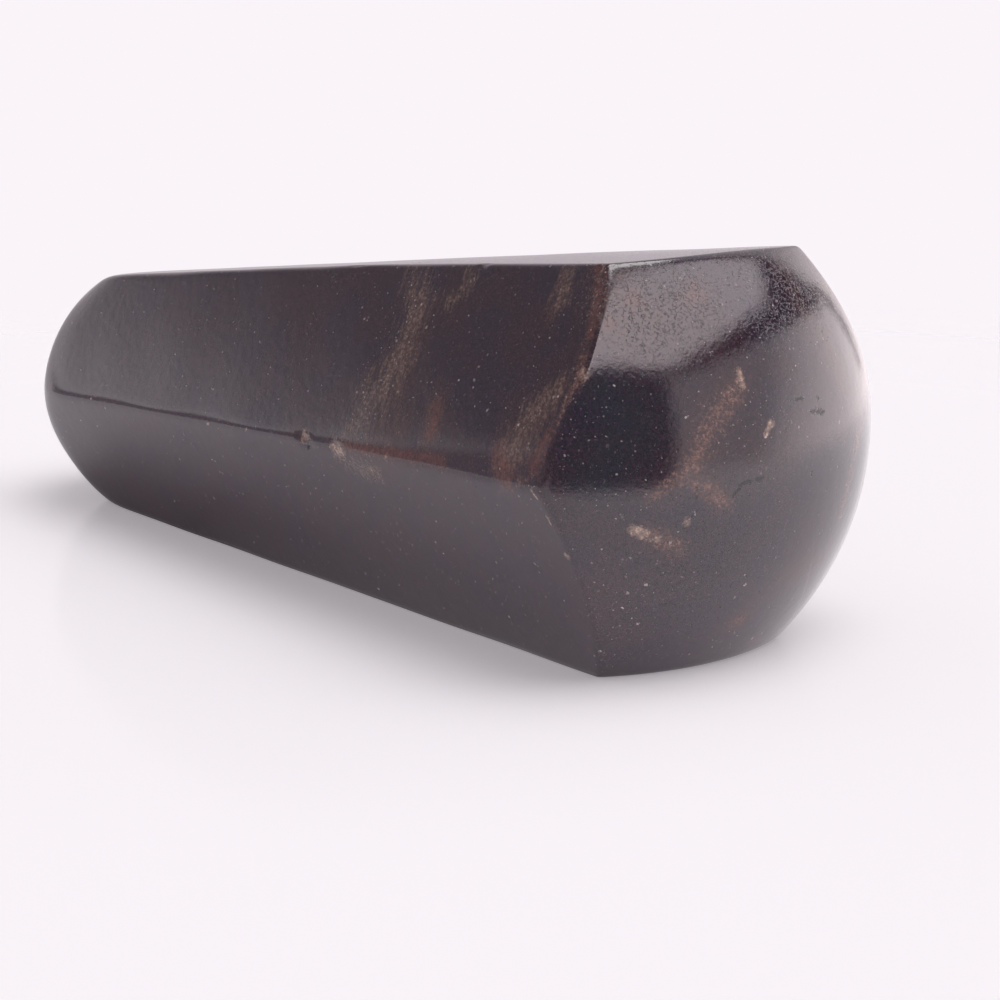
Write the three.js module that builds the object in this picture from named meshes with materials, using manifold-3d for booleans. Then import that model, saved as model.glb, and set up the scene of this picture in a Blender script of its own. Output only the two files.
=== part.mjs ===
// A hand-cut, polished ruby wand: a tapered six-sided bar of opaque dark ruby, ground to a broad dome
// at its thick end and to a small round tip at its thin end. It lies on its lowest flat.
// Millimetres, +Z up, +X towards the thick end. The origin is the middle of the box's underside.
import * as THREE from "three";
import { ConvexGeometry } from "three/addons/geometries/ConvexGeometry.js";
import { mergeVertices } from "three/addons/utils/BufferGeometryUtils.js";
import Module from "manifold-3d";

// The bar's section at its thick station, as [across, up] from the middle of the resting flat.
// The six corners aren't quite regular, because the flats were ground by hand.
const THICK_SECTION = {
  upperFront: [-7.4, 25.9],
  front: [-13.7, 13.3],
  lowerFront: [-7.5, 0],
  lowerBack: [7.5, 0],
  back: [15.4, 12.6],
  upperBack: [7.2, 25.5],
};
const BAR_LENGTH = 63.7; // from the thick station to the thin one
const THIN_SHARE = 0.733; // size of the thin section against the thick one
const THIN_DRIFT = -1.8; // how far the thin section sits to the front
const BAR_OVERRUN = 14; // the flats run on past both stations, into the domes
const EDGE_SOFTNESS = 0.5; // how far from a corner its rounding starts
const EDGE_STEPS = 3;

// The two domes are parts of ellipsoids on one axis, which rises slightly towards the thick end.
const AXIS_THIN = new THREE.Vector3(-BAR_LENGTH, -1.1, 8.9);
const AXIS_THICK = new THREE.Vector3(0, 1.1, 14.5);
const THIN_DOME = { centre: 4.2, across: 11.35, along: 13.6 };
const THICK_DOME = { centre: 39, across: 23.8, along: 31.9 };
const THIN_DOME_STEPS = 18;
const THICK_DOME_STEPS = 32;
const ROUND_SEGMENTS = 80;

// Two narrow cuts ease the front edges near the thick end and fade out along the bar. Each starts at
// a corner of the section, and reaches onto the flats above and below that corner's edge.
const BEVELS = [
  { corner: "front", start: -23, above: 1.7, below: 0.7 },
  { corner: "upperFront", start: -22, above: 14.6, below: 0.6 },
];
const BEVEL_BLOCK = 90; // side of the block that makes a cut

const RUBY = new THREE.MeshStandardMaterial({ color: 0x3f363d, roughness: 0.16, metalness: 0 });

const wasm = await Module();
wasm.setup();

// The six corners of the bar's section at x, on straight lines through both stations.
function sectionAt(x) {
  const share = -x / BAR_LENGTH;
  const scale = THREE.MathUtils.lerp(1, THIN_SHARE, share);
  const drift = THREE.MathUtils.lerp(0, THIN_DRIFT, share);
  return Object.values(THICK_SECTION).map(([y, z]) => new THREE.Vector3(x, y * scale + drift, z * scale));
}

// The point that lies the given distance from one corner towards another.
function towards(from, to, distance) {
  return to.clone().sub(from).setLength(distance).add(from);
}

// A section's outline with each corner turned into a small curve.
function softSection(x) {
  const corners = sectionAt(x);
  return corners.flatMap((corner, i) => {
    const before = corners.at(i - 1);
    const after = corners[(i + 1) % corners.length];
    const start = towards(corner, before, EDGE_SOFTNESS);
    const end = towards(corner, after, EDGE_SOFTNESS);
    return new THREE.QuadraticBezierCurve3(start, corner, end).getPoints(EDGE_STEPS);
  });
}

// The tapered bar, longer than the wand at both ends.
function barGeometry() {
  const thinEnd = softSection(-BAR_LENGTH - BAR_OVERRUN);
  const thickEnd = softSection(BAR_OVERRUN);
  return new ConvexGeometry([...thinEnd, ...thickEnd]);
}

// A quarter of an ellipse, from its tip to its widest ring or back, as [radius, along] points.
function domeProfile({ centre, across, along }, startAngle, endAngle, steps) {
  return new THREE.EllipseCurve(0, centre, across, along, startAngle, endAngle).getPoints(steps);
}

// The round form that both ends are ground to: thin dome, widening cone, thick dome.
function envelopeGeometry() {
  const thin = domeProfile(THIN_DOME, -Math.PI / 2, 0, THIN_DOME_STEPS);
  const thick = domeProfile(THICK_DOME, 0, Math.PI / 2, THICK_DOME_STEPS);
  const profile = [...thin, ...thick];
  profile[0].x = 0;
  profile.at(-1).x = 0;
  const direction = AXIS_THICK.clone().sub(AXIS_THIN).normalize();
  const turn = new THREE.Quaternion().setFromUnitVectors(new THREE.Vector3(0, 1, 0), direction);
  return new THREE.LatheGeometry(profile, ROUND_SEGMENTS)
    .applyQuaternion(turn)
    .translate(AXIS_THIN.x, AXIS_THIN.y, AXIS_THIN.z);
}

// A block whose one face is the bevel's plane, with the rest of it outside the bar.
function bevelGeometry(bevel) {
  const corners = sectionAt(0);
  const place = Object.keys(THICK_SECTION).indexOf(bevel.corner);
  const start = sectionAt(bevel.start)[place];
  const above = towards(corners[place], corners.at(place - 1), bevel.above);
  const below = towards(corners[place], corners[(place + 1) % corners.length], bevel.below);
  const alongBar = above.clone().add(below).divideScalar(2).sub(start).normalize();
  const outward = below.clone().sub(start).cross(above.clone().sub(start)).normalize();
  const acrossBar = outward.clone().cross(alongBar);
  const middle = start.clone().addScaledVector(outward, BEVEL_BLOCK / 2);
  const pose = new THREE.Matrix4().makeBasis(alongBar, acrossBar, outward).setPosition(middle);
  return new THREE.BoxGeometry(BEVEL_BLOCK, BEVEL_BLOCK, BEVEL_BLOCK).applyMatrix4(pose);
}

// A closed geometry as a solid that can be cut.
function solid(geometry) {
  geometry.deleteAttribute("normal");
  geometry.deleteAttribute("uv");
  const merged = mergeVertices(geometry);
  const mesh = new wasm.Mesh({
    numProp: 3,
    vertProperties: merged.attributes.position.array,
    triVerts: new Uint32Array(merged.index.array),
  });
  return new wasm.Manifold(mesh);
}

// A solid back as a geometry with flat-shaded faces.
function geometryOf(made) {
  const { vertProperties, triVerts } = made.getMesh();
  const geometry = new THREE.BufferGeometry();
  geometry.setAttribute("position", new THREE.BufferAttribute(vertProperties, 3));
  geometry.setIndex(new THREE.BufferAttribute(triVerts, 1));
  const flat = geometry.toNonIndexed();
  flat.computeVertexNormals();
  return flat;
}

// The whole wand, moved so that the origin is the middle of its box's underside.
function rubyWand() {
  const rounded = solid(barGeometry()).intersect(solid(envelopeGeometry()));
  const cut = BEVELS.reduce((made, bevel) => made.subtract(solid(bevelGeometry(bevel))), rounded);
  const geometry = geometryOf(cut);
  geometry.computeBoundingBox();
  const middle = geometry.boundingBox.getCenter(new THREE.Vector3());
  geometry.translate(-middle.x, -middle.y, -geometry.boundingBox.min.z);
  const mesh = new THREE.Mesh(geometry, RUBY);
  mesh.name = "ruby_wand";
  return mesh;
}

const part = new THREE.Group();
part.add(rubyWand());
export default part;
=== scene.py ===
# %% [markdown]
# # A polished ruby wand
#
# This lesson dresses one stone: a tapered, six-sided wand of opaque dark ruby that was ground by hand
# and polished. The model that is loaded here already has its real size and its flats. What is added
# is what the eye looks for in a polished stone: edges that are slightly worn, mirror-like flats with
# a little swing in them, mottled colour, rusty veins, and a web of tiny cracks that break the gloss.
#
# Everything is in one frame. Blender works in metres, and stones are measured in millimetres, so the
# shape is worked out in millimetres and turned into metres once, when it becomes a mesh.

import bpy
import numpy as np
from mathutils import Matrix, Vector


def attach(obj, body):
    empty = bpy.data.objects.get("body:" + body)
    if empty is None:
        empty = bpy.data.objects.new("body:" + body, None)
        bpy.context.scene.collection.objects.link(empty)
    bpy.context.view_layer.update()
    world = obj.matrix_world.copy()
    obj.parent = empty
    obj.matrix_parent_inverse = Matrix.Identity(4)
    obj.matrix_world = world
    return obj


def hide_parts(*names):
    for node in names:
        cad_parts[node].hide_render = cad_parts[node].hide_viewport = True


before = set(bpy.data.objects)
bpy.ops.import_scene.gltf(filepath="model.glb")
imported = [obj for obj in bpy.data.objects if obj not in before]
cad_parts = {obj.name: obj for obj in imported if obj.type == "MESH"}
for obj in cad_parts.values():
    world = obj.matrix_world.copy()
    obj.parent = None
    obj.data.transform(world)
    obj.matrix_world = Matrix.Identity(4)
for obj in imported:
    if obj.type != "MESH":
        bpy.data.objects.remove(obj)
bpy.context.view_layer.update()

MM = 0.001

# %% [markdown]
# ## Small helpers
#
# Two helpers serve every finish below. Colours are picked the way a paint program shows them, as sRGB
# hex values, but a renderer adds light up in linear values, so one function turns the first into the
# second. The other adds one node to a node tree: its settings, its inputs, and what is linked to them.

# %% Colours and nodes
def linear(hex_colour):
    """An sRGB hex colour as linear red, green, blue and alpha. Each channel c becomes c / 12.92 in
    the dark, and ((c + 0.055) / 1.055) ^ 2.4 elsewhere."""
    srgb = np.array([int(hex_colour[i:i + 2], 16) for i in (1, 3, 5)]) / 255
    values = np.where(srgb <= 0.04045, srgb / 12.92, ((srgb + 0.055) / 1.055) ** 2.4)
    return (*map(float, values), 1.0)


def add(tree, kind, inputs=None, **settings):
    """One new node. An input given as another node's output is linked, and any other value is set."""
    node = tree.nodes.new(kind)
    for name, value in settings.items():
        setattr(node, name, value)
    for key, value in (inputs or {}).items():
        if isinstance(value, bpy.types.NodeSocket):
            tree.links.new(value, node.inputs[key])
        else:
            node.inputs[key].default_value = value
    return node


# A Mix node has sockets for numbers and for colours, and they are told apart by their places.
FACTOR, NUMBER_A, NUMBER_B, NUMBER_OUT = 0, 2, 3, 0
COLOUR_A, COLOUR_B, COLOUR_OUT = 6, 7, 2
COLOURS = {"data_type": "RGBA"}  # sets a Mix node to colours
SMOOTH = {"interpolation_type": "SMOOTHSTEP"}  # lets a Map Range node ease in and out

BACKDROP = linear("#FAF4F9")
print("the backdrop in linear values:", [round(v, 3) for v in BACKDROP])

# %% [markdown]
# ## The camera
#
# The photograph was taken close by, from the thick end and a little above. Such a close view makes
# the thin end look much smaller, so the distance matters as much as the direction. The camera is
# placed by what it looks at: one known point on the stone, the pixel where that point is seen, its
# depth, and the direction of view.

# %% Place the camera
PHOTO_PIXELS = 1000
SENSOR_MM = 36.0
FOCAL_PIXELS = 2158.8
AZIMUTH, ELEVATION, ROLL = 51.681, 12.581, -0.247  # degrees
AIM_MM = np.array([33.065, -0.98, 12.75])  # on the bar's thick station, at half its height
AIM_IN_PHOTO = (698.1, 459.3)
AIM_DEPTH_MM = 132.6


def heading(azimuth, elevation):
    """The unit direction to an azimuth and an elevation in degrees. Azimuth 0 is -Y and 90 is +X."""
    a, e = np.radians([azimuth, elevation])
    return np.array([np.sin(a) * np.cos(e), -np.cos(a) * np.cos(e), np.sin(e)])


def camera_axes(azimuth, elevation, roll):
    """Right, up and back of a camera that looks from a heading: level axes first, then rolled."""
    back = heading(azimuth, elevation)
    around, tilt = np.radians([azimuth, roll])
    level = np.array([np.cos(around), np.sin(around), 0.0])
    raised = np.cross(back, level)
    right = np.cos(tilt) * level + np.sin(tilt) * raised
    up = -np.sin(tilt) * level + np.cos(tilt) * raised
    return right, up, back


RIGHT, UP, BACK = camera_axes(AZIMUTH, ELEVATION, ROLL)
aside = (AIM_IN_PHOTO[0] - PHOTO_PIXELS / 2) / FOCAL_PIXELS * AIM_DEPTH_MM
above = (PHOTO_PIXELS / 2 - AIM_IN_PHOTO[1]) / FOCAL_PIXELS * AIM_DEPTH_MM
EYE_MM = AIM_MM + BACK * AIM_DEPTH_MM - RIGHT * aside - UP * above

pose = np.eye(4)
pose[:3, :3] = np.column_stack([RIGHT, UP, BACK])
pose[:3, 3] = EYE_MM * MM
camera = bpy.data.objects.new("camera", bpy.data.cameras.new("camera"))
camera.matrix_world = Matrix(pose.tolist())
camera.data.sensor_width = SENSOR_MM
camera.data.lens = FOCAL_PIXELS * SENSOR_MM / PHOTO_PIXELS
camera.data.clip_start = 5 * MM
scene = bpy.context.scene
scene.collection.objects.link(camera)
scene.camera = camera
scene.view_settings.view_transform = "Standard"
print("eye in mm:", EYE_MM.round(1), "lens in mm:", round(camera.data.lens, 2))

# %% [markdown]
# ## The studio
#
# A polished stone shows its surroundings more than itself, so the surroundings are part of its look:
# pale walls all round, a dim side where the room opens behind the camera, and one big soft light in
# its dark case, high on the stone's right. They could be lamps and boards that stand round the stone,
# but those would throw shadows and stand in the picture from other sides. So they are painted into
# the world's light by direction. That light falls evenly, so the floor runs into the backdrop.

# %% Sides and panels of the world's light
world = bpy.data.worlds.new("studio")
world.use_nodes = True
world.cycles.sampling_method = "NONE"  # light is found only along rays that a surface sends out
scene.world = world
sky = world.node_tree
sky.nodes.clear()
looking = add(sky, "ShaderNodeTexCoord").outputs["Generated"]


def panel(edges, middle, soft):
    """1 inside a straight-edged panel seen in the sky and 0 outside. Each edge is a plane through the
    viewer and two headings, and the least height above all the planes tells inside from outside."""
    least = None
    for start, end in edges:
        normal = np.cross(heading(*start), heading(*end))
        normal *= np.sign(normal @ heading(*middle)) / np.linalg.norm(normal)
        height = add(sky, "ShaderNodeVectorMath", {0: looking, 1: normal}, operation="DOT_PRODUCT")
        height = height.outputs["Value"]
        if least is None:
            least = height
        else:
            least = add(sky, "ShaderNodeMath", {0: least, 1: height}, operation="MINIMUM").outputs[0]
    limits = {"From Min": -soft, "From Max": soft}
    return add(sky, "ShaderNodeMapRange", {"Value": least, **limits}, **SMOOTH).outputs["Result"]


def side(direction, from_angle, to_angle):
    """0 far from a direction and 1 close to it, growing smoothly between two angles in degrees."""
    facing = add(sky, "ShaderNodeVectorMath", {
        0: looking, 1: heading(*direction)}, operation="DOT_PRODUCT").outputs["Value"]
    limits = {"From Min": np.cos(np.radians(from_angle)), "From Max": np.cos(np.radians(to_angle))}
    return add(sky, "ShaderNodeMapRange", {"Value": facing, **limits}, **SMOOTH).outputs["Result"]


print("the thick end points along", heading(90, 0).round(3))

# %% Walls, lamp and case
# Light is given in linear values, where the backdrop is about 0.9, because lamps are brighter than
# any hex colour. A side is a heading, the angles where it starts and is full, and its light.
SIDES = (
    ((-66, 60), 51, 39.5, (0.27, 0.255, 0.27, 1)),  # the dim ceiling over the thin end
    ((-3, 15), 62, 44, (0.25, 0.24, 0.26, 1)),  # the dim room on the camera's left
    ((-122, 0), 52, 22, (0.65, 0.59, 0.63, 1)),  # the grey wall past the thin end
    ((172, -18), 58, 18, (2.4, 2.16, 2.2, 1)),  # the bright table behind the stone
)
LAMP_FAR, LAMP_NEAR = (2.15, 2.0, 2.14, 1), (2.8, 2.54, 2.64, 1)
CASE_DARK = (0.10, 0.09, 0.11, 1)
STRIP_DIM = (0.38, 0.345, 0.37, 1)
OVERHEAD_BRIGHT = (5.0, 4.9, 4.95, 1)

# A panel is a ring of edges, and each edge is two headings that it passes through.
SOFTBOX = (
    ((60, 29.3), (88, 26.4)), ((90, 27.8), (150, 31.5)), ((150, 31.5), (168, 37)),
    ((174, 25.5), (129, 58)), ((38, 60), (38, 20)),
)
CASE = (
    ((58, 27.5), (88, 24)), ((91, 24), (161, 21)), ((180, 10), (184, 30)),
    ((129, 62.5), (174, 29.5)), ((32, 60), (32, 20)),
)
STAND = (
    ((-179, 17), (-161.5, -4)), ((-161.5, -4), (-160, -3.5)),
    ((-160, -3.5), (-176.5, 17.5)), ((-176.5, 17.5), (-179, 17)),
)
OVERHEAD = (
    ((-60, 60), (0, 64)), ((0, 64), (60, 64)), ((60, 64), (120, 64)),
    ((120, 64), (180, 64)), ((180, 64), (-120, 60)), ((-120, 60), (-60, 60)),
)
STRIP = (  # the lowest part of the dim room, where it meets the table
    ((-78, 9), (-44, 9)), ((-44, 9), (-8, 9)), ((-8, -9), (-44, -9)),
    ((-44, -9), (-78, -9)), ((-78, 30), (-78, -30)), ((-8, 30), (-8, -30)),
)

lit = BACKDROP
for direction, from_angle, to_angle, light in SIDES:
    lit = add(sky, "ShaderNodeMix", {
        FACTOR: side(direction, from_angle, to_angle), COLOUR_A: lit, COLOUR_B: light,
    }, **COLOURS).outputs[COLOUR_OUT]
lamp = add(sky, "ShaderNodeMix", {
    FACTOR: side((50, 40), 110, 10), COLOUR_A: LAMP_FAR, COLOUR_B: LAMP_NEAR,
}, **COLOURS).outputs[COLOUR_OUT]
for edges, middle, soft, light in (
    (STRIP, (-44, 0), 0.03, STRIP_DIM),
    (CASE, (120, 30), 0.008, CASE_DARK),
    (STAND, (-169.5, 6.8), 0.008, CASE_DARK),
    (SOFTBOX, (110, 40), 0.012, lamp),
    (OVERHEAD, (0, 90), 0.03, OVERHEAD_BRIGHT),
):
    lit = add(sky, "ShaderNodeMix", {
        FACTOR: panel(edges, middle, soft), COLOUR_A: lit, COLOUR_B: light,
    }, **COLOURS).outputs[COLOUR_OUT]

# The lamp only matters where it is mirrored. Rays that scatter from a surface see soft light instead,
# dim and even, with one bright place high on the right that gives the stone its soft shadow.
SOFT_DIM, SOFT_BRIGHT = (0.294, 0.279, 0.292, 1), (2.94, 2.79, 2.92, 1)
path = add(sky, "ShaderNodeLightPath")
soft_light = add(sky, "ShaderNodeMix", {
    FACTOR: side((120, 70), 35, 8), COLOUR_A: SOFT_DIM, COLOUR_B: SOFT_BRIGHT,
}, **COLOURS).outputs[COLOUR_OUT]
lit = add(sky, "ShaderNodeMix", {
    FACTOR: path.outputs["Is Diffuse Ray"], COLOUR_A: lit, COLOUR_B: soft_light,
}, **COLOURS).outputs[COLOUR_OUT]

# The camera itself sees the plain backdrop, whichever way it looks.
seen = add(sky, "ShaderNodeMix", {
    FACTOR: path.outputs["Is Camera Ray"], COLOUR_A: lit, COLOUR_B: BACKDROP,
}, **COLOURS).outputs[COLOUR_OUT]
background = add(sky, "ShaderNodeBackground", {"Color": seen})
add(sky, "ShaderNodeOutputWorld", {"Surface": background.outputs[0]})
print("nodes in the world:", len(sky.nodes))

# %% [markdown]
# ## The floor
#
# The stone lies on a smooth white board, so it has a pale shadow and a faint mirror image under it.
# The board's glow is painted light, which keeps that shadow pale. A photographer bends such a board
# up to hide its edge. A flat disc that turns clear far out does the same from every side. Its gloss
# ends a short way from the stone, because farther out it would only mirror the studio.

# %% Lay the floor
FLOOR_RADIUS = 1.2
FADE_FROM, FADE_TO = 0.07, 0.16  # metres from the middle, where the board turns clear
GLOSS_MIDDLE = (0.0, -0.012, 0.0)
GLOSS_FROM, GLOSS_TO = 0.036, 0.054  # metres from there, where its gloss ends

around = np.linspace(0, 2 * np.pi, 96, endpoint=False)
ring = np.column_stack([np.cos(around), np.sin(around), np.zeros_like(around)]) * FLOOR_RADIUS
floor_mesh = bpy.data.meshes.new("floor")
floor_mesh.from_pydata(ring.tolist(), [], [list(range(len(ring)))])
floor = bpy.data.objects.new("floor", floor_mesh)
scene.collection.objects.link(floor)

board = bpy.data.materials.new("smooth_white_board")
board.use_nodes = True
tree = board.node_tree
tree.nodes.clear()
place = add(tree, "ShaderNodeTexCoord").outputs["Object"]
distance = add(tree, "ShaderNodeVectorMath", {0: place}, operation="LENGTH").outputs["Value"]
fade = add(tree, "ShaderNodeMapRange", {
    "Value": distance, "From Min": FADE_FROM, "From Max": FADE_TO}, **SMOOTH).outputs["Result"]
near = add(tree, "ShaderNodeVectorMath", {
    0: place, 1: GLOSS_MIDDLE}, operation="DISTANCE").outputs["Value"]
near = add(tree, "ShaderNodeMapRange", {
    "Value": near, "From Min": GLOSS_FROM, "From Max": GLOSS_TO}, **SMOOTH).outputs["Result"]
print("floor radius in mm:", FLOOR_RADIUS / MM)

# %% The board's glow and gloss
# The board's glow is painted light, which keeps the shadow pale. A camera shows it as plain white all
# over, but its mirror image in the stone is much paler on the side of the big lamp than in front, so
# mirror rays see the glow grow towards that side, which is a painted reflection.
BOARD_WHITE = (0.95, 0.95, 0.95, 1)
GLOW = (0.25, 0.237, 0.2475, 1)
BRIGHT_SIDE = (0.643, 0.766, 0.0)
GLOW_FROM, GLOW_TO = -0.018, 0.078  # metres towards the bright side
GLOW_LEAST, GLOW_MOST = 0.18, 3.4

across = add(tree, "ShaderNodeVectorMath", {
    0: place, 1: BRIGHT_SIDE}, operation="DOT_PRODUCT").outputs["Value"]
glow = add(tree, "ShaderNodeMapRange", {
    "Value": across, "From Min": GLOW_FROM, "From Max": GLOW_TO,
    "To Min": GLOW_LEAST, "To Max": GLOW_MOST}).outputs["Result"]
# painted reflection: only mirror rays see the board's glow grow towards the big lamp
mirrored = add(tree, "ShaderNodeLightPath").outputs["Is Glossy Ray"]
glow = add(tree, "ShaderNodeMix", {
    FACTOR: mirrored, NUMBER_A: 1.0, NUMBER_B: glow}).outputs[NUMBER_OUT]
sheet = {"Base Color": BOARD_WHITE, "Emission Color": GLOW, "Emission Strength": glow}
glossy = add(tree, "ShaderNodeBsdfPrincipled", {**sheet, "Roughness": 0.10, "IOR": 1.10}).outputs[0]
matt = add(tree, "ShaderNodeBsdfPrincipled", {
    **sheet, "Roughness": 1.0, "Specular IOR Level": 0.0}).outputs[0]
sheen = add(tree, "ShaderNodeMixShader", {0: near, 1: glossy, 2: matt}).outputs[0]
clear = add(tree, "ShaderNodeBsdfTransparent").outputs[0]
mixed = add(tree, "ShaderNodeMixShader", {0: fade, 1: sheen, 2: clear}).outputs[0]
add(tree, "ShaderNodeOutputMaterial", {"Surface": mixed})
floor_mesh.materials.append(board)
print("nodes in the board:", len(tree.nodes))

# %% [markdown]
# ## The black card
#
# The near-black patch on the dome is the mirror image of something dark that stood close to it. A
# black card does this, and photographers use one to draw a dark shape on a shiny thing. Painted into
# the world it would seem far away, and its image would fall on the wrong part of the dome. Only
# mirror reflections see the card, so it takes no light away from anything else.

# %% Stand the card up
CARD_FOOT_MM = np.array([[62.0, -46.3], [81.7, -11.5]])
CARD_HEIGHT_MM = (0.2, 41.0)
CARD_SHEEN = (0.185, 0.205, 0.245, 1)  # velvet isn't quite black in bright light
CARD_FADE_FROM, CARD_FADE_TO = -0.002, 0.004  # its foot is soft, over these heights in metres

corners = [
    (*CARD_FOOT_MM[end] * MM, CARD_HEIGHT_MM[level] * MM)
    for end, level in ((0, 0), (1, 0), (1, 1), (0, 1))
]
card_mesh = bpy.data.meshes.new("black_card")
card_mesh.from_pydata(corners, [], [(0, 1, 2, 3)])
card = bpy.data.objects.new("black_card", card_mesh)
scene.collection.objects.link(card)
card.visible_camera = card.visible_diffuse = card.visible_shadow = card.visible_transmission = False
velvet = bpy.data.materials.new("black_velvet_card")
velvet.use_nodes = True
tree = velvet.node_tree
tree.nodes.clear()
dark = add(tree, "ShaderNodeEmission", {"Color": CARD_SHEEN}).outputs[0]
clear = add(tree, "ShaderNodeBsdfTransparent").outputs[0]
place = add(tree, "ShaderNodeTexCoord").outputs["Object"]
up = add(tree, "ShaderNodeSeparateXYZ", {0: place}).outputs["Z"]
fade = add(tree, "ShaderNodeMapRange", {
    "Value": up, "From Min": CARD_FADE_FROM, "From Max": CARD_FADE_TO}, **SMOOTH).outputs["Result"]
mixed = add(tree, "ShaderNodeMixShader", {0: fade, 1: clear, 2: dark}).outputs[0]
add(tree, "ShaderNodeOutputMaterial", {"Surface": mixed})
card_mesh.materials.append(velvet)
print("the card's corners in metres:", np.round(corners, 4).tolist())

# %% [markdown]
# ## The stone's shape
#
# The wand was sawn as a tapered bar with six flats, then both ends were ground round. Each flat is a
# plane and each end is part of an ellipsoid, so the surface can be written down exactly. A point on
# it is found from two numbers: the station, which is the distance along the stone's axis, and the
# angle round it. The nearest plane or dome in that direction gives the distance from the axis.
#
# Boxes with bevel modifiers could give the same flats, but their edges would all be equally sharp.
# Here the "nearest" is a soft one, so edges come out rounded as by a polishing wheel.

# %% The bar's six corners
SECTION_MM = {  # across and up at the thick station, from the middle of the resting flat
    "upper_front": (-7.4, 25.9),
    "front": (-13.7, 13.3),
    "lower_front": (-7.5, 0.0),
    "lower_back": (7.5, 0.0),
    "back": (15.4, 12.6),
    "upper_back": (7.2, 25.5),
}
FLATS = len(SECTION_MM)
BAR_LENGTH_MM = 63.7
THIN_SHARE = 0.733  # the thin section's size against the thick one's
THIN_DRIFT_MM = -1.8  # how far the thin section sits to the front
STATION_MM = np.array([33.065, -0.98, 0.0])  # the thick station's place in the frame


def section_at(x):
    """The six corners at x from the thick station: the thick section scaled towards its thin share,
    and moved by its drift."""
    share = -x / BAR_LENGTH_MM
    across, up = np.array(list(SECTION_MM.values())).T * (1 + (THIN_SHARE - 1) * share)
    return np.column_stack([np.full(FLATS, float(x)), across + THIN_DRIFT_MM * share, up]) + STATION_MM


THICK, THIN = section_at(0), section_at(-BAR_LENGTH_MM)
INSIDE = (THICK.mean(0) + THIN.mean(0)) / 2
print("thick section in mm:", np.ptp(THICK, axis=0).round(1))
print("thin section in mm:", np.ptp(THIN, axis=0).round(1))


# %% Flats and bevels as planes
def plane_through(a, b, c):
    """A plane as its unit normal and its height: the cross product of two of its sides, turned away
    from the inside."""
    normal = np.cross(b - a, c - a)
    normal /= np.linalg.norm(normal)
    height = normal @ a
    return (normal, height) if normal @ INSIDE < height else (-normal, -height)


def towards(start, end, distance):
    """The point at this distance from start on the line to end."""
    return start + (end - start) * distance / np.linalg.norm(end - start)


# Two narrow bevels ease the front edges: where each starts, and its reach onto the flats beside it.
BEVELS_MM = {"front": (-23, 1.7, 0.7), "upper_front": (-22, 14.6, 0.6)}

planes = [plane_through(THICK[i], THICK[(i + 1) % FLATS], THIN[i]) for i in range(FLATS)]
for corner, (start, reach_up, reach_down) in BEVELS_MM.items():
    i = list(SECTION_MM).index(corner)
    upper = towards(THICK[i], THICK[i - 1], reach_up)
    lower = towards(THICK[i], THICK[(i + 1) % FLATS], reach_down)
    planes.append(plane_through(section_at(start)[i], upper, lower))
NORMALS = np.array([normal for normal, _ in planes])
HEIGHTS = np.array([height for _, height in planes])
print("planes:", len(planes))

# %% [markdown]
# The grinder rolled both ends on the wheel, so they are round about the stone's own axis, which rises
# slightly towards the thick end. The thin end is a small dome that widens into a cone, and the thick
# end is a broad dome. Both are written as a radius that depends on the station alone.

# %% Axis and domes
AXIS_START_MM = np.array([-BAR_LENGTH_MM, -1.1, 8.9]) + STATION_MM
AXIS_END_MM = np.array([0.0, 1.1, 14.5]) + STATION_MM
ALONG = (AXIS_END_MM - AXIS_START_MM) / np.linalg.norm(AXIS_END_MM - AXIS_START_MM)
FRONT = np.cross(ALONG, [0, 0, 1])
FRONT /= np.linalg.norm(FRONT)
BELOW = np.cross(ALONG, FRONT)
THIN_DOME_MM = {"centre": 4.2, "across": 11.35, "along": -13.6}
THICK_DOME_MM = {"centre": 39.0, "across": 23.8, "along": 31.9}
FAR_MM = 1e3  # out of the way of everything
LEAST_SLOPE = 1e-3  # below this a plane counts as never met


def outward(angle):
    """The unit direction away from the axis: cosine of the angle times front, plus sine times below."""
    return np.cos(angle)[..., None] * FRONT + np.sin(angle)[..., None] * BELOW


def flat_radii(station, angle):
    """How far out each plane lies: (height - normal.axis point) / (normal.outward), and very far
    where it is never met."""
    on_axis = AXIS_START_MM + station[..., None] * ALONG
    slope = outward(angle) @ NORMALS.T
    gap = HEIGHTS - on_axis @ NORMALS.T
    return np.where(slope > LEAST_SLOPE, gap / np.maximum(slope, LEAST_SLOPE), FAR_MM)


def dome_radius(station, dome):
    """An ellipse's half width: across times the root of 1 - ((station - centre) / along) squared."""
    share = (station - dome["centre"]) / dome["along"]
    return dome["across"] * np.sqrt(np.clip(1 - share ** 2, 0, 1))


# The thin dome runs on into a cone that touches it. With the cone's slope s, and the dome's widths a
# across and b along, they touch where the dome's sine is s * b / root(a ^ 2 + (s * b) ^ 2).
CONE_SLOPE = 0.358
rise = CONE_SLOPE * THIN_DOME_MM["along"]
touching = rise / np.hypot(THIN_DOME_MM["across"], rise)
CONE_START_MM = THIN_DOME_MM["centre"] - THIN_DOME_MM["along"] * touching


def thin_radius(station):
    """The thin end's radius: the dome's up to where the cone touches it, and from there the cone's."""
    dome = dome_radius(station, THIN_DOME_MM)
    cone = dome_radius(CONE_START_MM, THIN_DOME_MM) + CONE_SLOPE * (station - CONE_START_MM)
    return np.where(station < CONE_START_MM, dome, cone)


def thick_radius(station):
    """The thick end's radius: the dome's beyond its widest ring, and out of the way before that."""
    return np.where(station > THICK_DOME_MM["centre"], dome_radius(station, THICK_DOME_MM), FAR_MM)


TIPS_MM = [dome["centre"] + dome["along"] for dome in (THIN_DOME_MM, THICK_DOME_MM)]
print("stations of the tips in mm:", np.round(TIPS_MM, 2))

# %% [markdown]
# The grid's columns run along the stone, crowded together near the six long edges, where the shape
# turns quickly. Its rows run round the stone. Where a flat ends and a dome starts, the border is a
# curve, so its station is looked up for each column, and a row of points is laid exactly on it.

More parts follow.
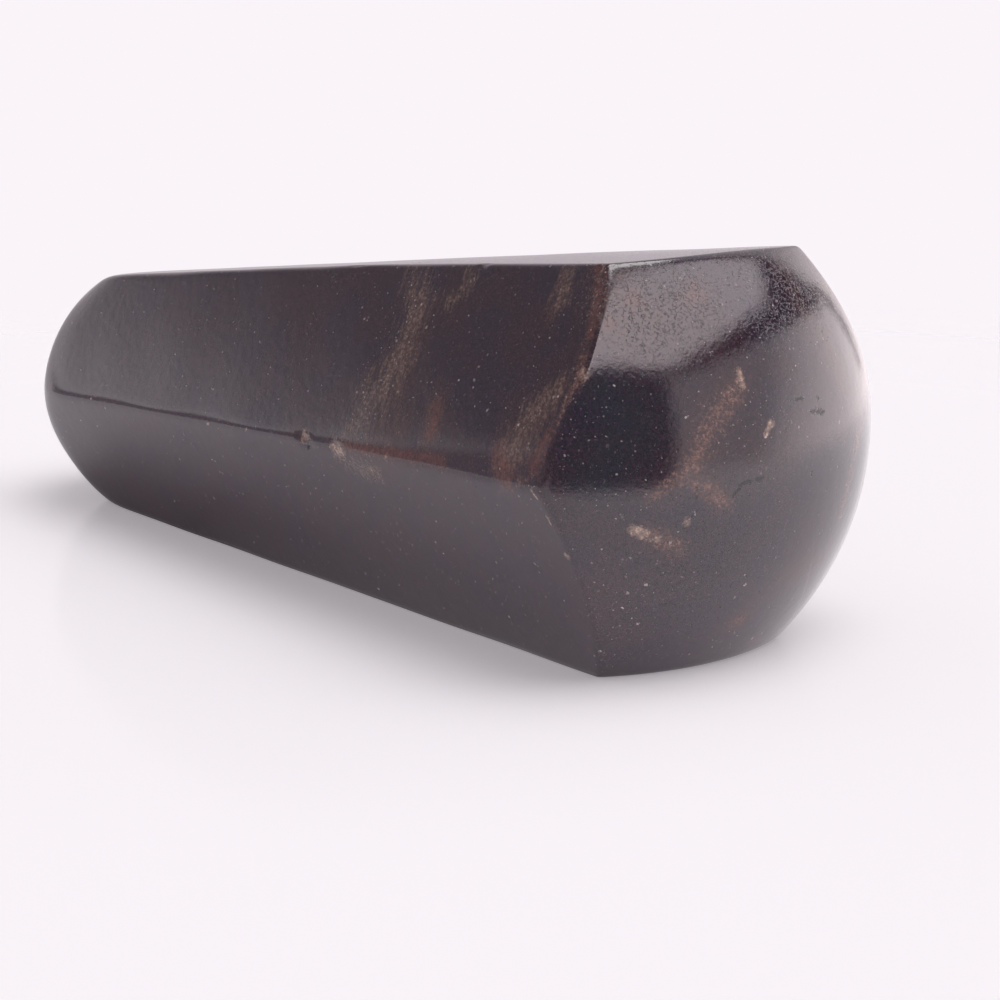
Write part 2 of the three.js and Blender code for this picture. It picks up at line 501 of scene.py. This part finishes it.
# %% Columns that follow the long edges
COLUMNS_PER_FLAT = 52
CROWDING = 0.75  # 0 spreads columns evenly, and near 1 nearly all are at the edges
HALVINGS = 40  # enough to find a border to the last digit
ON_THE_FLATS_MM = 16  # a station near the thin end that every flat still reaches

step = np.arange(COLUMNS_PER_FLAT) / COLUMNS_PER_FLAT
crowded = step - CROWDING * np.sin(2 * np.pi * step) / (2 * np.pi)
FLAT_OF = np.repeat(np.arange(FLATS), COLUMNS_PER_FLAT)
SHARE_OF = np.tile(crowded, FLATS)


def corner_angles(station):
    """The angle of each corner line at a station, and of the first one again a full turn on. A corner
    line is straight, so it is cut where its height along the axis equals the station."""
    thick, thin = THICK - AXIS_START_MM, THIN - AXIS_START_MM
    along_thick, along_thin = thick @ ALONG, thin @ ALONG
    cut = (station[..., None] - along_thick) / (along_thin - along_thick)
    ahead = (thick @ FRONT) + cut * ((thin - thick) @ FRONT)
    down = (thick @ BELOW) + cut * ((thin - thick) @ BELOW)
    angles = np.unwrap(np.arctan2(down, ahead), axis=-1)
    return np.concatenate([angles, angles[..., :1] + 2 * np.pi], axis=-1)


def column_angle(station):
    """Each column's angle: between the two corners of its flat, at its share of the way."""
    angles = corner_angles(station)
    rows = np.broadcast_to(FLAT_OF, station.shape)[..., None]
    start = np.take_along_axis(angles, rows, -1)[..., 0]
    end = np.take_along_axis(angles, rows + 1, -1)[..., 0]
    return start + (end - start) * SHARE_OF


def border(end_radius, inner, tip):
    """The station where each column passes from flat to end, found by halving a stretch many times."""
    low, high = np.full(len(FLAT_OF), float(inner)), np.full(len(FLAT_OF), float(tip))
    for _ in range(HALVINGS):
        middle = (low + high) / 2
        on_flat = flat_radii(middle, column_angle(middle)).min(-1) < end_radius(middle)
        low, high = np.where(on_flat, middle, low), np.where(on_flat, high, middle)
    return (low + high) / 2


THIN_BORDER = border(thin_radius, ON_THE_FLATS_MM, TIPS_MM[0])
THICK_BORDER = border(thick_radius, THICK_DOME_MM["centre"], TIPS_MM[1])
print("thick border from", THICK_BORDER.min().round(1), "to", THICK_BORDER.max().round(1), "mm")

# %% Rows from tip to tip
FLAT_ROWS, THICK_ROWS, THIN_ROWS = 150, 60, 46
ROW_CROWDING = 0.6  # rows are closer together at both ends of the flats
BORDER_CROWDING = 1.25  # over 1 draws a dome's rows towards its border


def dome_rows(start, dome, count):
    """Stations from a border to a tip: centre + along * sin(angle), with the angle's steps growing
    from the border on."""
    first = np.arcsin(np.clip((start - dome["centre"]) / dome["along"], -1, 1))
    share = (np.arange(1, count) / count)[:, None] ** BORDER_CROWDING
    return dome["centre"] + dome["along"] * np.sin(first + (np.pi / 2 - first) * share)


share = np.arange(FLAT_ROWS + 1) / FLAT_ROWS
share = (share - ROW_CROWDING * np.sin(2 * np.pi * share) / (2 * np.pi))[:, None]
STATIONS = np.vstack([
    dome_rows(THIN_BORDER, THIN_DOME_MM, THIN_ROWS)[::-1],
    THIN_BORDER + (THICK_BORDER - THIN_BORDER) * share,
    dome_rows(THICK_BORDER, THICK_DOME_MM, THICK_ROWS),
])
ANGLES = column_angle(np.clip(STATIONS, THIN_BORDER, THICK_BORDER))
print("grid:", STATIONS.shape)

# %% [markdown]
# A stone that was held against a wheel by hand is never quite true. Its flats are slightly crowned,
# they carry shallow waves, and its edges are rounded more in one place than in another. Together this
# is about a tenth of a millimetre, but it bends every reflection, which is how a hand-made surface is
# told from a machined one.

# %% Smooth random heights and rounded corners
def waves(points, wavelength, seed, count=14):
    """A smooth random height between about -1 and 1: sine waves in random directions are added up,
    divided by the root of their number and scaled to fit."""
    random = np.random.default_rng(seed)
    directions = random.normal(size=(count, 3))
    lengths = np.linalg.norm(directions, axis=1, keepdims=True)
    directions *= (2 * np.pi / wavelength) * random.uniform(0.6, 1.4, (count, 1)) / lengths
    phases = random.uniform(0, 2 * np.pi, count)
    return np.sin(points @ directions.T + phases).sum(-1) / np.sqrt(count) * 0.8


def soft_least(values, softness):
    """The least of several values with its corners rounded: -softness * log(sum of exp(-value /
    softness))."""
    least = values.min(-1, keepdims=True)
    total = np.exp(-(values - least) / softness[..., None]).sum(-1)
    return least[..., 0] - softness * np.log(total)


print("two planes that cross are softened by", -soft_least(np.zeros((1, 2)), np.ones(1)).round(3))

# %% The hand-made surface
EDGE_SOFT_MM, EDGE_WAVE_MM, EDGE_SOFT_LEAST_MM = 0.13, 14.0, 0.04
BORDER_SOFT_MM, BORDER_WAVE_MM, BORDER_SOFT_LEAST_MM = 0.10, 12.0, 0.03
SWING = 0.25  # how much the rounding differs from place to place
THIN_WORN = {"edge": 0.5, "border": 2.5}  # how much more the thin end is worn
CROWN_MM = 0.10
WAVE_MM, WAVE_LENGTH_MM = 0.012, 9.0
MEAN_RADIUS_MM = 12.0
CALM_RADIUS_MM = 5  # waves die out from here to the tips
LEAST_RADIUS_MM = 0.02

rough_points = AXIS_START_MM + STATIONS[..., None] * ALONG + MEAN_RADIUS_MM * outward(ANGLES)
thin_end = np.clip(1 - STATIONS / BAR_LENGTH_MM, 0, 1) ** 2
edge_swing = SWING * waves(rough_points, EDGE_WAVE_MM, 3)
edge_soft = EDGE_SOFT_MM * (1 + edge_swing + THIN_WORN["edge"] * thin_end)
flats = soft_least(flat_radii(STATIONS, ANGLES), np.maximum(edge_soft, EDGE_SOFT_LEAST_MM))

# The resting flat stays true. The others are highest in their middle, and lower at both edges.
resting = FLAT_OF == list(SECTION_MM).index("lower_front")
crown = CROWN_MM * (4 * SHARE_OF * (1 - SHARE_OF) - 0.5) * np.where(resting, 0, 1)
wave = WAVE_MM * waves(rough_points, WAVE_LENGTH_MM, 8) * np.where(resting, 0, 1)
thin, thick = thin_radius(STATIONS), thick_radius(STATIONS)
border_swing = SWING * waves(rough_points, BORDER_WAVE_MM, 5)
border_soft = BORDER_SOFT_MM * (1 + border_swing + THIN_WORN["border"] * thin_end)
border_soft = np.maximum(border_soft, BORDER_SOFT_LEAST_MM)
RADII = soft_least(np.stack([flats + crown, thin, thick], -1), border_soft)
RADII = np.maximum(RADII + wave * np.clip(RADII / CALM_RADIUS_MM, 0, 1), LEAST_RADIUS_MM)
POINTS = AXIS_START_MM + STATIONS[..., None] * ALONG + RADII[..., None] * outward(ANGLES)
print("box in mm:", POINTS.reshape(-1, 3).min(0).round(2), POINTS.reshape(-1, 3).max(0).round(2))


# %% Grid to mesh
def closed_mesh(name, grid, tips):
    """A grid that is closed round its columns, with one point at each tip: quads between the rows and
    a fan of triangles at both ends, all facing outwards."""
    rows, columns = grid.shape[:2]
    vertices = np.vstack([grid.reshape(-1, 3), tips])
    index = np.arange(rows * columns).reshape(rows, columns)
    right = np.roll(index, -1, axis=1)
    quads = np.stack([index[:-1], right[:-1], right[1:], index[1:]], -1).reshape(-1, 4)
    first = np.column_stack([right[0], index[0], np.full(columns, rows * columns)])
    last = np.column_stack([index[-1], right[-1], np.full(columns, rows * columns + 1)])
    mesh = bpy.data.meshes.new(name)
    mesh.from_pydata(vertices.tolist(), [], quads.tolist() + first.tolist() + last.tolist())
    mesh.shade_smooth()
    return mesh


tips = np.array([AXIS_START_MM + tip * ALONG for tip in TIPS_MM])
wand_mesh = closed_mesh("polished_wand", POINTS * MM, tips * MM)
wand = bpy.data.objects.new("polished_wand", wand_mesh)
scene.collection.objects.link(wand)
print("triangles:", sum(len(face.vertices) - 2 for face in wand.data.polygons))

# %% [markdown]
# ## Where the marks are
#
# The stone's own marks, such as veins and stained seams, are where the photograph shows them. Each is
# written as a path of pixels with a half width, and the camera's rays carry it onto the stone. What is
# kept on the surface is a nearness: 1 on the path, 0 at its half width and below 0 outside. The finish
# then breaks these soft bands up with grain, so that no mark ends in a drawn line.

# %% From pixels to the surface
bpy.context.view_layer.update()
SURFACE = np.vstack([POINTS.reshape(-1, 3), tips])
FAR_OUTSIDE = -9.0  # the nearness of a point that no path comes near


def on_stone(path):
    """The points, in mm, where the rays through a path's pixels meet the stone, and the half widths
    there: pixels * depth / focal length in pixels."""
    points, widths = [], []
    for x, y, half_width in path:
        ray = (RIGHT * (x - PHOTO_PIXELS / 2) / FOCAL_PIXELS
               + UP * (PHOTO_PIXELS / 2 - y) / FOCAL_PIXELS - BACK)
        found, place, _, _ = wand.ray_cast(Vector(EYE_MM * MM), Vector(ray))
        if found:
            depth = (EYE_MM - np.array(place) / MM) @ BACK
            points.append(np.array(place) / MM)
            widths.append(half_width * depth / FOCAL_PIXELS)
    return np.array(points), np.array(widths)


def nearness(points, widths):
    """1 - distance / half width to the nearest stretch of a path, with the width changing evenly
    along it."""
    if len(points) == 1:
        return 1 - np.linalg.norm(SURFACE - points[0], axis=1) / widths[0]
    best = np.full(len(SURFACE), FAR_OUTSIDE)
    for start, end, first, last in zip(points, points[1:], widths, widths[1:]):
        stretch = end - start
        share = np.clip((SURFACE - start) @ stretch / (stretch @ stretch), 0, 1)
        gap = np.linalg.norm(SURFACE - start - share[:, None] * stretch, axis=1)
        best = np.maximum(best, 1 - gap / (first + (last - first) * share))
    return best


print("points on the surface:", len(SURFACE))


# %% Guessed marks on the far side
def carried_round(points, turn, shift):
    """A path moved along the stone and turned round its axis, then set on the nearest points of the
    surface. A turn by t takes an offset o to o * cos(t) + (axis x o) * sin(t)."""
    off = points - AXIS_START_MM
    along = (off @ ALONG)[:, None] * ALONG
    off = off - along
    turned = off * np.cos(turn) + np.cross(ALONG, off) * np.sin(turn)
    turned = turned + along + AXIS_START_MM + shift * ALONG
    nearest = [np.argmin(((SURFACE - point) ** 2).sum(1)) for point in turned]
    return SURFACE[nearest]


def turned_away(points):
    """True if the surface at every point faces away from the camera: its direction from the axis
    against the view."""
    off = points - AXIS_START_MM
    off = off - (off @ ALONG)[:, None] * ALONG
    return bool(((off * (EYE_MM - points)).sum(1) < 0).all())


# Turn in radians and shift in mm. Only copies that fall on the far side are kept.
ROUND_AGAIN = {
    "tan": ((2.2, -6.0), (2.9, -16.0), (3.9, 5.0)),
    "brown": ((2.4, -8.0), (3.2, -18.0), (4.2, -2.0)),
    "rust": ((2.1, -3.0), (2.8, -12.0), (3.4, -6.0)),
    "red": ((2.5, -3.0), (3.3, -8.0)),
}
print("marks that are carried round:", ", ".join(ROUND_AGAIN))

# %% [markdown]
# The marks are grouped by what they are. Tan, brown, red and rust are minerals in the seams, pale ones
# are small filled holes, and blue is the darkest, coldest part of the stone. Pits are open holes,
# crackle is where tiny cracks gather, and dusty is where white specks do. An image could hold them
# too, but paths stay sharp at any size, and each can be moved by changing a few numbers.

# %% Paths of the marks, as x, y and half width in the photograph's pixels
MARKS = {
    "tan": (
        ((425, 262, 22), (421, 300, 24), (405, 345, 28), (385, 380, 32), (362, 415, 34), (348, 434, 28)),
        ((484, 262, 14), (468, 285, 16), (448, 303, 14)),
        ((560, 385, 14), (532, 420, 28), (512, 455, 34)),
        ((340, 458, 12), (358, 468, 18), (376, 472, 14)),
        ((560, 300, 18), (572, 268, 16)),
    ),
    "brown": (
        ((428, 262, 30), (418, 320, 34), (396, 385, 46), (392, 425, 52)),
        ((436, 395, 22), (428, 432, 26)),
        ((576, 262, 16), (563, 290, 20), (550, 314, 14)),
        ((602, 262, 12), (596, 310, 14), (580, 360, 12)),
        ((578, 375, 14), (550, 402, 30), (526, 435, 40), (508, 468, 40)),
        ((620, 285, 46), (632, 325, 44), (690, 296, 34)),
        ((735, 385, 20), (712, 420, 34), (696, 460, 26), (662, 490, 22)),
        ((700, 480, 20), (724, 502, 18)), ((652, 538, 24), (676, 545, 20)),
    ),
    "red": (
        ((341, 446, 9), (385, 453, 10), (424, 458, 12), (442, 461, 12)),
        ((602, 264, 11), (598, 300, 12), (590, 335, 8)),
        ((498, 452, 18), (506, 478, 18)), ((548, 436, 13), (534, 466, 16)),
        ((436, 408, 14), (430, 436, 14)),
        ((695, 293, 18),), ((634, 300, 16),), ((610, 325, 12),), ((126, 420, 7),),
        ((715, 496, 14),), ((588, 650, 6),),
    ),
    "rust": (
        (
            (740, 376, 6), (735, 395, 12), (720, 412, 18), (705, 432, 16), (700, 455, 12),
            (690, 470, 12), (668, 484, 11), (650, 498, 9),
        ),
        ((695, 482, 10), (712, 492, 11), (728, 505, 9)),
        ((648, 533, 9), (664, 541, 12), (680, 549, 10)),
        ((584, 360, 9), (580, 378, 10), (566, 402, 6), (556, 428, 5)),
    ),
    "pale": (
        ((633, 530, 7), (645, 534, 7)), ((657, 539, 6),), ((687, 522, 6),),
        ((739, 372, 5), (743, 386, 4)), ((771, 423, 5), (766, 434, 4)),
        ((304, 437, 9),), ((334, 447, 9), (342, 452, 6)), ((386, 457, 4),), ((583, 374, 8),),
        ((531, 489, 2), (537, 499, 2)), ((546, 515, 2), (551, 526, 2)), ((567, 557, 5),),
        ((357, 263, 5),), ((484, 262, 6),), ((208, 424, 4),), ((247, 430, 4),),
    ),
    "pits": (
        ((306, 447, 5),), ((801, 398, 3), (792, 402, 3)), ((811, 411, 3), (824, 412, 3)),
        ((817, 398, 3),), ((732, 496, 2.5), (742, 483, 2.5), (762, 478, 3)), ((763, 492, 3),),
        ((811, 474, 3),),
    ),
    "blue": (
        ((600, 392, 34), (630, 425, 62), (600, 478, 46)),
    ),
    "dusty": (
        ((625, 575, 40), (650, 590, 50), (680, 585, 40)),
        ((590, 605, 12), (598, 640, 14), (602, 668, 12)),
        ((560, 415, 30), (600, 440, 60), (590, 490, 50)), ((720, 300, 60), (790, 290, 60)),
        ((750, 410, 50), (790, 400, 50)), ((410, 300, 30), (380, 400, 40)),
        ((530, 400, 30), (510, 450, 30)), ((595, 270, 20), (590, 330, 20)),
    ),
    "crackle": (
        ((625, 295, 44), (650, 325, 44), (690, 300, 44)),
        ((765, 275, 50), (790, 290, 60), (770, 318, 36)), ((700, 560, 90),),
    ),
}

for mark, paths in MARKS.items():
    field = np.full(len(SURFACE), FAR_OUTSIDE)
    for path in paths:
        points, widths = on_stone(path)
        field = np.maximum(field, nearness(points, widths))
        for turn, shift in ROUND_AGAIN.get(mark, ()):
            again = carried_round(points, turn, shift)
            if turned_away(again):
                field = np.maximum(field, nearness(again, widths))
    attribute = wand.data.attributes.new(mark, "FLOAT", "POINT")
    attribute.data.foreach_set("value", np.clip(field, -3, 1).astype(np.float32))
    print(mark, "covers", round(100 * float((field > 0).mean()), 1), "% of the points")

# %% [markdown]
# A long edge is where a hard stone is knocked first. The knocks leave small hollows with a ragged
# rim, so the points within a chip's reach are pressed in towards the axis, deepest in its middle, and
# the reach is varied by a fine wave. Cutting with small spheres would leave their round rims.

# %% Chips along the edges
CHIPS = (  # x, y and half width in the photograph's pixels, and depth in mm
    (305, 438, 7, 0.28), (307, 446, 3, 0.25), (335, 446, 5, 0.15),
    (357, 267, 4, 0.14), (484, 265, 6, 0.12), (600, 268, 5, 0.15),
)
RAGGED, RAGGED_WAVE_MM = 0.25, 0.9

inward = -np.vstack([outward(ANGLES).reshape(-1, 3), -ALONG, ALONG])
dented = SURFACE.copy()
for x, y, half_width, depth in CHIPS:
    points, widths = on_stone(((x, y, half_width),))
    if len(points):
        gap = np.linalg.norm(SURFACE - points[0], axis=1) / widths[0]
        gap = gap + RAGGED * waves(SURFACE, RAGGED_WAVE_MM, 21)
        dented += inward * (depth * np.clip(1 - gap ** 2, 0, 1))[:, None]
wand.data.vertices.foreach_set("co", (dented * MM).astype(np.float32).ravel())
wand.data.update()
print("deepest chip in mm:", float(np.linalg.norm(dented - SURFACE, axis=1).max().round(2)))

# %% [markdown]
# ## The stone's finish
#
# Opaque ruby is corundum that grew together with other minerals. It's dark plum inside, and its
# polish is hard and bright: corundum has an index of refraction of 1.77, so even a straight look sees
# 8 % of what stands opposite, which is more than the stone's own dark colour sends back. Torn-out
# grains, tiny cracks and veins of softer minerals break the polish. They are rougher than the rest,
# so they look pale where the stone mirrors something dark, and dark where it mirrors the light.
#
# The patterns read the place in millimetres, so a scale is a number of features per millimetre.

# %% The stone's own colour
ruby = bpy.data.materials.new("polished_opaque_ruby")
ruby.use_nodes = True
tree = ruby.node_tree
tree.nodes.clear()
metres = add(tree, "ShaderNodeTexCoord").outputs["Object"]
place = add(tree, "ShaderNodeVectorMath", {0: metres, "Scale": 1 / MM}, operation="SCALE").outputs[0]

# Blotches of about 4 mm pass from a redder plum to a bluer one, and grains of 0.2 mm mottle both.
blotch = add(tree, "ShaderNodeTexNoise", {
    "Vector": place, "Scale": 0.25, "Detail": 6.0, "Roughness": 0.66}).outputs["Fac"]
blotch = add(tree, "ShaderNodeMapRange", {
    "Value": blotch, "From Min": 0.36, "From Max": 0.64}, **SMOOTH).outputs["Result"]
grain = add(tree, "ShaderNodeTexNoise", {
    "Vector": place, "Scale": 5.5, "Detail": 3.0, "Roughness": 0.75}).outputs["Fac"]
stone = add(tree, "ShaderNodeMix", {
    FACTOR: blotch, COLOUR_A: linear("#321B25"), COLOUR_B: linear("#2A1A2B"),
}, **COLOURS).outputs[COLOUR_OUT]
brightness = add(tree, "ShaderNodeMapRange", {
    "Value": grain, "From Min": 0.36, "From Max": 0.72, "To Min": 0.4, "To Max": 2.6,
}).outputs["Result"]
stone = add(tree, "ShaderNodeVectorMath", {0: stone, "Scale": brightness}, operation="SCALE").outputs[0]

# Fibres run across the stone in the direction of the tan band, so their noise is stretched that way:
# they are 0.45 mm apart and about five times as long. The crumbs of other minerals are 0.3 mm.
FIBRE_STRETCH = 0.82
band_points, _ = on_stone(MARKS["tan"][0])
fibre_way = (band_points[-1] - band_points[0]) / np.linalg.norm(band_points[-1] - band_points[0])
along_fibre = add(tree, "ShaderNodeVectorMath", {
    0: place, 1: fibre_way}, operation="DOT_PRODUCT").outputs["Value"]
along_fibre = add(tree, "ShaderNodeVectorMath", {
    0: fibre_way * FIBRE_STRETCH, "Scale": along_fibre}, operation="SCALE").outputs[0]
squeezed = add(tree, "ShaderNodeVectorMath", {
    0: place, 1: along_fibre}, operation="SUBTRACT").outputs[0]
fibres = add(tree, "ShaderNodeTexNoise", {
    "Vector": squeezed, "Scale": 2.2, "Detail": 5.0, "Roughness": 0.72}).outputs["Fac"]
crumbs = add(tree, "ShaderNodeTexNoise", {
    "Vector": place, "Scale": 3.2, "Detail": 4.0, "Roughness": 0.75}).outputs["Fac"]
print("fibres run along", fibre_way.round(2))

# %% [markdown]
# A vein is a scatter of mineral grains and not a coat of paint. Flat colour inside a sharp outline
# would look printed on. So the wide mask from a mark's path only says where grains may be, a first
# noise frays its edge, and a finer one lets the grains through in places.

# %% Veins and stains
MASK_START = -0.2  # the nearness where a mark's first grains show

# The grains are drawn 0.25 mm apart. The finest real ones are too small to show.
scatter = add(tree, "ShaderNodeTexNoise", {
    "Vector": place, "Scale": 4.2, "Detail": 4.0, "Roughness": 0.85}).outputs["Fac"]
scatter = add(tree, "ShaderNodeMapRange", {
    "Value": scatter, "From Min": 0.46, "From Max": 0.64}, **SMOOTH).outputs["Result"]
LAYERS = {  # colour, noise that frays the edge, how much, softness, strength between grains and on them
    "blue": ("#2A2C33", crumbs, 3.4, 1.2, 0.55, 0.95),
    "brown": ("#6C473C", fibres, 3.2, 1.4, 0.22, 0.64),
    "tan": ("#95796A", fibres, 4.2, 1.2, 0.13, 0.84),
    "red": ("#86483A", crumbs, 3.0, 1.3, 0.30, 0.76),
    "rust": ("#A27566", crumbs, 4.0, 1.0, 0.08, 0.90),
    "pale": ("#DDBBA6", crumbs, 2.6, 0.9, 0.35, 0.90),
}
colour = stone
masks = {}
for mark, (paint, fraying, frayed, softness, between, on_grains) in LAYERS.items():
    near = add(tree, "ShaderNodeAttribute", attribute_name=mark).outputs["Fac"]
    broken = add(tree, "ShaderNodeMath", {0: fraying, 1: 0.5}, operation="SUBTRACT").outputs[0]
    broken = add(tree, "ShaderNodeMath", {
        0: broken, 1: frayed, 2: near}, operation="MULTIPLY_ADD").outputs[0]
    mask = add(tree, "ShaderNodeMapRange", {
        "Value": broken, "From Min": MASK_START, "From Max": softness}, **SMOOTH).outputs["Result"]
    grains = add(tree, "ShaderNodeMapRange", {
        "Value": scatter, "To Min": between, "To Max": on_grains}).outputs["Result"]
    mask = add(tree, "ShaderNodeMath", {0: mask, 1: grains}, operation="MULTIPLY").outputs[0]
    colour = add(tree, "ShaderNodeMix", {
        FACTOR: mask, COLOUR_A: colour, COLOUR_B: linear(paint)}, **COLOURS).outputs[COLOUR_OUT]
    masks[mark] = mask
print("layers on the stone's colour:", len(masks))

# %% [markdown]
# White specks are single grains, about 0.1 mm in the coarse layer and 0.05 mm in the fine one. Laid
# as little meshes they would be thousands of pieces, so they are drawn in the cells of a mosaic: only
# in a few of them, and in more where the surface looks dusty.

# %% White specks
SPECKS = (  # cells per mm, chance limit on clean and on dusty parts, largest radius in cells, brightest
    (2.6, 0.88, 0.50, 0.32, 0.75),
    (6.0, 0.90, 0.40, 0.42, 0.60),
)
SPECK_LEAST, SPECK_RIM, SPECK_FAINT = 0.06, 0.07, 0.08  # least radius, soft rim, least brightness
SPECK_WHITE = linear("#D8C8C4")
UNEVEN = (0.16, 0.16, 0.16)  # how far a fine noise pushes the mosaic, which makes the grains uneven

dusty = add(tree, "ShaderNodeAttribute", attribute_name="dusty").outputs["Fac"]
shifted = add(tree, "ShaderNodeTexNoise", {
    "Vector": place, "Scale": 7.0, "Detail": 1.0}).outputs["Color"]
shifted = add(tree, "ShaderNodeVectorMath", {
    0: shifted, 1: UNEVEN, 2: place}, operation="MULTIPLY_ADD").outputs[0]
specks = None
for per_mm, clean_limit, dusty_limit, largest, brightest in SPECKS:
    cells = add(tree, "ShaderNodeTexVoronoi", {
        "Vector": shifted, "Scale": per_mm, "Randomness": 1.0}, feature="F1")
    chance = add(tree, "ShaderNodeSeparateColor", {0: cells.outputs["Color"]})
    limit = {"From Min": -0.6, "From Max": 0.8, "To Min": clean_limit, "To Max": dusty_limit}
    limit = add(tree, "ShaderNodeMapRange", {"Value": dusty, **limit}).outputs["Result"]
    chosen = add(tree, "ShaderNodeMath", {
        0: chance.outputs[0], 1: limit}, operation="GREATER_THAN").outputs[0]
    size = add(tree, "ShaderNodeMath", {0: chance.outputs[1], 1: 3.0}, operation="POWER").outputs[0]
    size = add(tree, "ShaderNodeMapRange", {
        "Value": size, "To Min": SPECK_LEAST, "To Max": largest}).outputs["Result"]
    speck = add(tree, "ShaderNodeMath", {
        0: size, 1: cells.outputs["Distance"]}, operation="SUBTRACT").outputs[0]
    speck = add(tree, "ShaderNodeMapRange", {"Value": speck, "From Max": SPECK_RIM}).outputs["Result"]
    speck = add(tree, "ShaderNodeMath", {0: speck, 1: chosen}, operation="MULTIPLY").outputs[0]
    bright = add(tree, "ShaderNodeMath", {0: chance.outputs[2], 1: 2.0}, operation="POWER").outputs[0]
    bright = add(tree, "ShaderNodeMapRange", {
        "Value": bright, "To Min": SPECK_FAINT, "To Max": brightest}).outputs["Result"]
    bright = add(tree, "ShaderNodeMath", {0: speck, 1: bright}, operation="MULTIPLY").outputs[0]
    colour = add(tree, "ShaderNodeMix", {
        FACTOR: bright, COLOUR_A: colour, COLOUR_B: SPECK_WHITE}, **COLOURS).outputs[COLOUR_OUT]
    if specks is None:
        specks = bright
    else:
        specks = add(tree, "ShaderNodeMath", {0: specks, 1: bright}, operation="MAXIMUM").outputs[0]
print("layers of specks:", len(SPECKS))

# %% [markdown]
# Polishing tears grains out and opens tiny cracks, a few hundredths of a millimetre wide, and dirt
# turns them black. A crack is a line that wanders, like the line on a map where the ground passes one
# height. So cracks are drawn where a noise of 0.3 mm passes its middle value, and they are left out
# where a second noise is low.

# %% Cracks and torn-out grains
OPEN_DARK = linear("#120E12")
CRACK_CORE, CRACK_RIM = 0.006, 0.03  # how near to its middle value the noise is in a crack

swirl = add(tree, "ShaderNodeTexNoise", {
    "Vector": place, "Scale": 3.3, "Detail": 2.0, "Roughness": 0.6}).outputs["Fac"]
swirl = add(tree, "ShaderNodeMath", {0: swirl, 1: 0.5}, operation="SUBTRACT").outputs[0]
swirl = add(tree, "ShaderNodeMath", {0: swirl}, operation="ABSOLUTE").outputs[0]
line = add(tree, "ShaderNodeMapRange", {
    "Value": swirl, "From Min": CRACK_CORE, "From Max": CRACK_RIM, "To Min": 1.0, "To Max": 0.0,
}).outputs["Result"]
crackled = add(tree, "ShaderNodeAttribute", attribute_name="crackle").outputs["Fac"]
crackled = add(tree, "ShaderNodeMapRange", {
    "Value": crackled, "From Min": -0.6, "From Max": 0.7, "To Min": -0.19, "To Max": 0.01,
}).outputs["Result"]
patchy = add(tree, "ShaderNodeMath", {0: crumbs, 1: crackled}, operation="ADD").outputs[0]
patchy = add(tree, "ShaderNodeMapRange", {
    "Value": patchy, "From Min": 0.42, "From Max": 0.52}, **SMOOTH).outputs["Result"]
crack = add(tree, "ShaderNodeMath", {0: line, 1: patchy}, operation="MULTIPLY").outputs[0]
pits = add(tree, "ShaderNodeAttribute", attribute_name="pits").outputs["Fac"]
pits = add(tree, "ShaderNodeMath", {0: crumbs, 1: 5.0, 2: pits}, operation="MULTIPLY_ADD").outputs[0]
pits = add(tree, "ShaderNodeMapRange", {
    "Value": pits, "From Min": 2.5, "From Max": 3.2}).outputs["Result"]
pits = add(tree, "ShaderNodeMath", {0: pits, 1: crack}, operation="MAXIMUM").outputs[0]
colour = add(tree, "ShaderNodeMix", {
    FACTOR: pits, COLOUR_A: colour, COLOUR_B: OPEN_DARK}, **COLOURS).outputs[COLOUR_OUT]
print("nodes so far:", len(tree.nodes))

# %% [markdown]
# Corundum takes a near mirror polish, but the minerals in its seams are softer, and the wheel leaves
# them dull. So the roughness rises where a mark, a pit or a speck is. The relief is far too shallow
# for real geometry, about a hundredth of a millimetre, and a bump in the shading shows it well.

# %% Gloss and relief
POLISH, TORN = 0.07, 0.5
DULLED = {"tan": 0.5, "rust": 0.5, "brown": 0.3, "pale": 0.6}  # how much each loses of the polish
RELIEF_MM = 0.012
CORUNDUM_IOR = 1.77

# The wheel leaves ripples of about 0.8 mm, and the grains stand a little out of them.
open_grain = add(tree, "ShaderNodeMath", {0: pits, 1: specks}, operation="MAXIMUM").outputs[0]
for mark, dulled in DULLED.items():
    softer = add(tree, "ShaderNodeMath", {0: masks[mark], 1: dulled}, operation="MULTIPLY").outputs[0]
    open_grain = add(tree, "ShaderNodeMath", {
        0: open_grain, 1: softer}, operation="MAXIMUM").outputs[0]
gloss = add(tree, "ShaderNodeMapRange", {
    "Value": open_grain, "To Min": POLISH, "To Max": TORN}).outputs["Result"]
ripple = add(tree, "ShaderNodeTexNoise", {
    "Vector": place, "Scale": 1.3, "Detail": 2.0, "Roughness": 0.5}).outputs["Fac"]
height = add(tree, "ShaderNodeMath", {
    0: grain, 1: 0.55, 2: ripple}, operation="MULTIPLY_ADD").outputs[0]
height = add(tree, "ShaderNodeMath", {
    0: pits, 1: -1.4, 2: height}, operation="MULTIPLY_ADD").outputs[0]
relief = add(tree, "ShaderNodeBump", {
    "Height": height, "Strength": 1.0, "Distance": RELIEF_MM * MM}).outputs[0]
shader = add(tree, "ShaderNodeBsdfPrincipled", {
    "Base Color": colour, "Roughness": gloss, "IOR": CORUNDUM_IOR, "Normal": relief})
add(tree, "ShaderNodeOutputMaterial", {"Surface": shader.outputs[0]})
wand.data.materials.append(ruby)
print("nodes in the stone's finish:", len(tree.nodes))

# %% [markdown]
# ## The finished piece
#
# The dressed stone takes the place of the plain one. It rides on the root body, because nothing on a
# stone moves, and its finish answers to one name, so that the same wand can be had in another stone.

# %% Hand the piece over
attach(wand, "root")
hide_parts("ruby_wand")
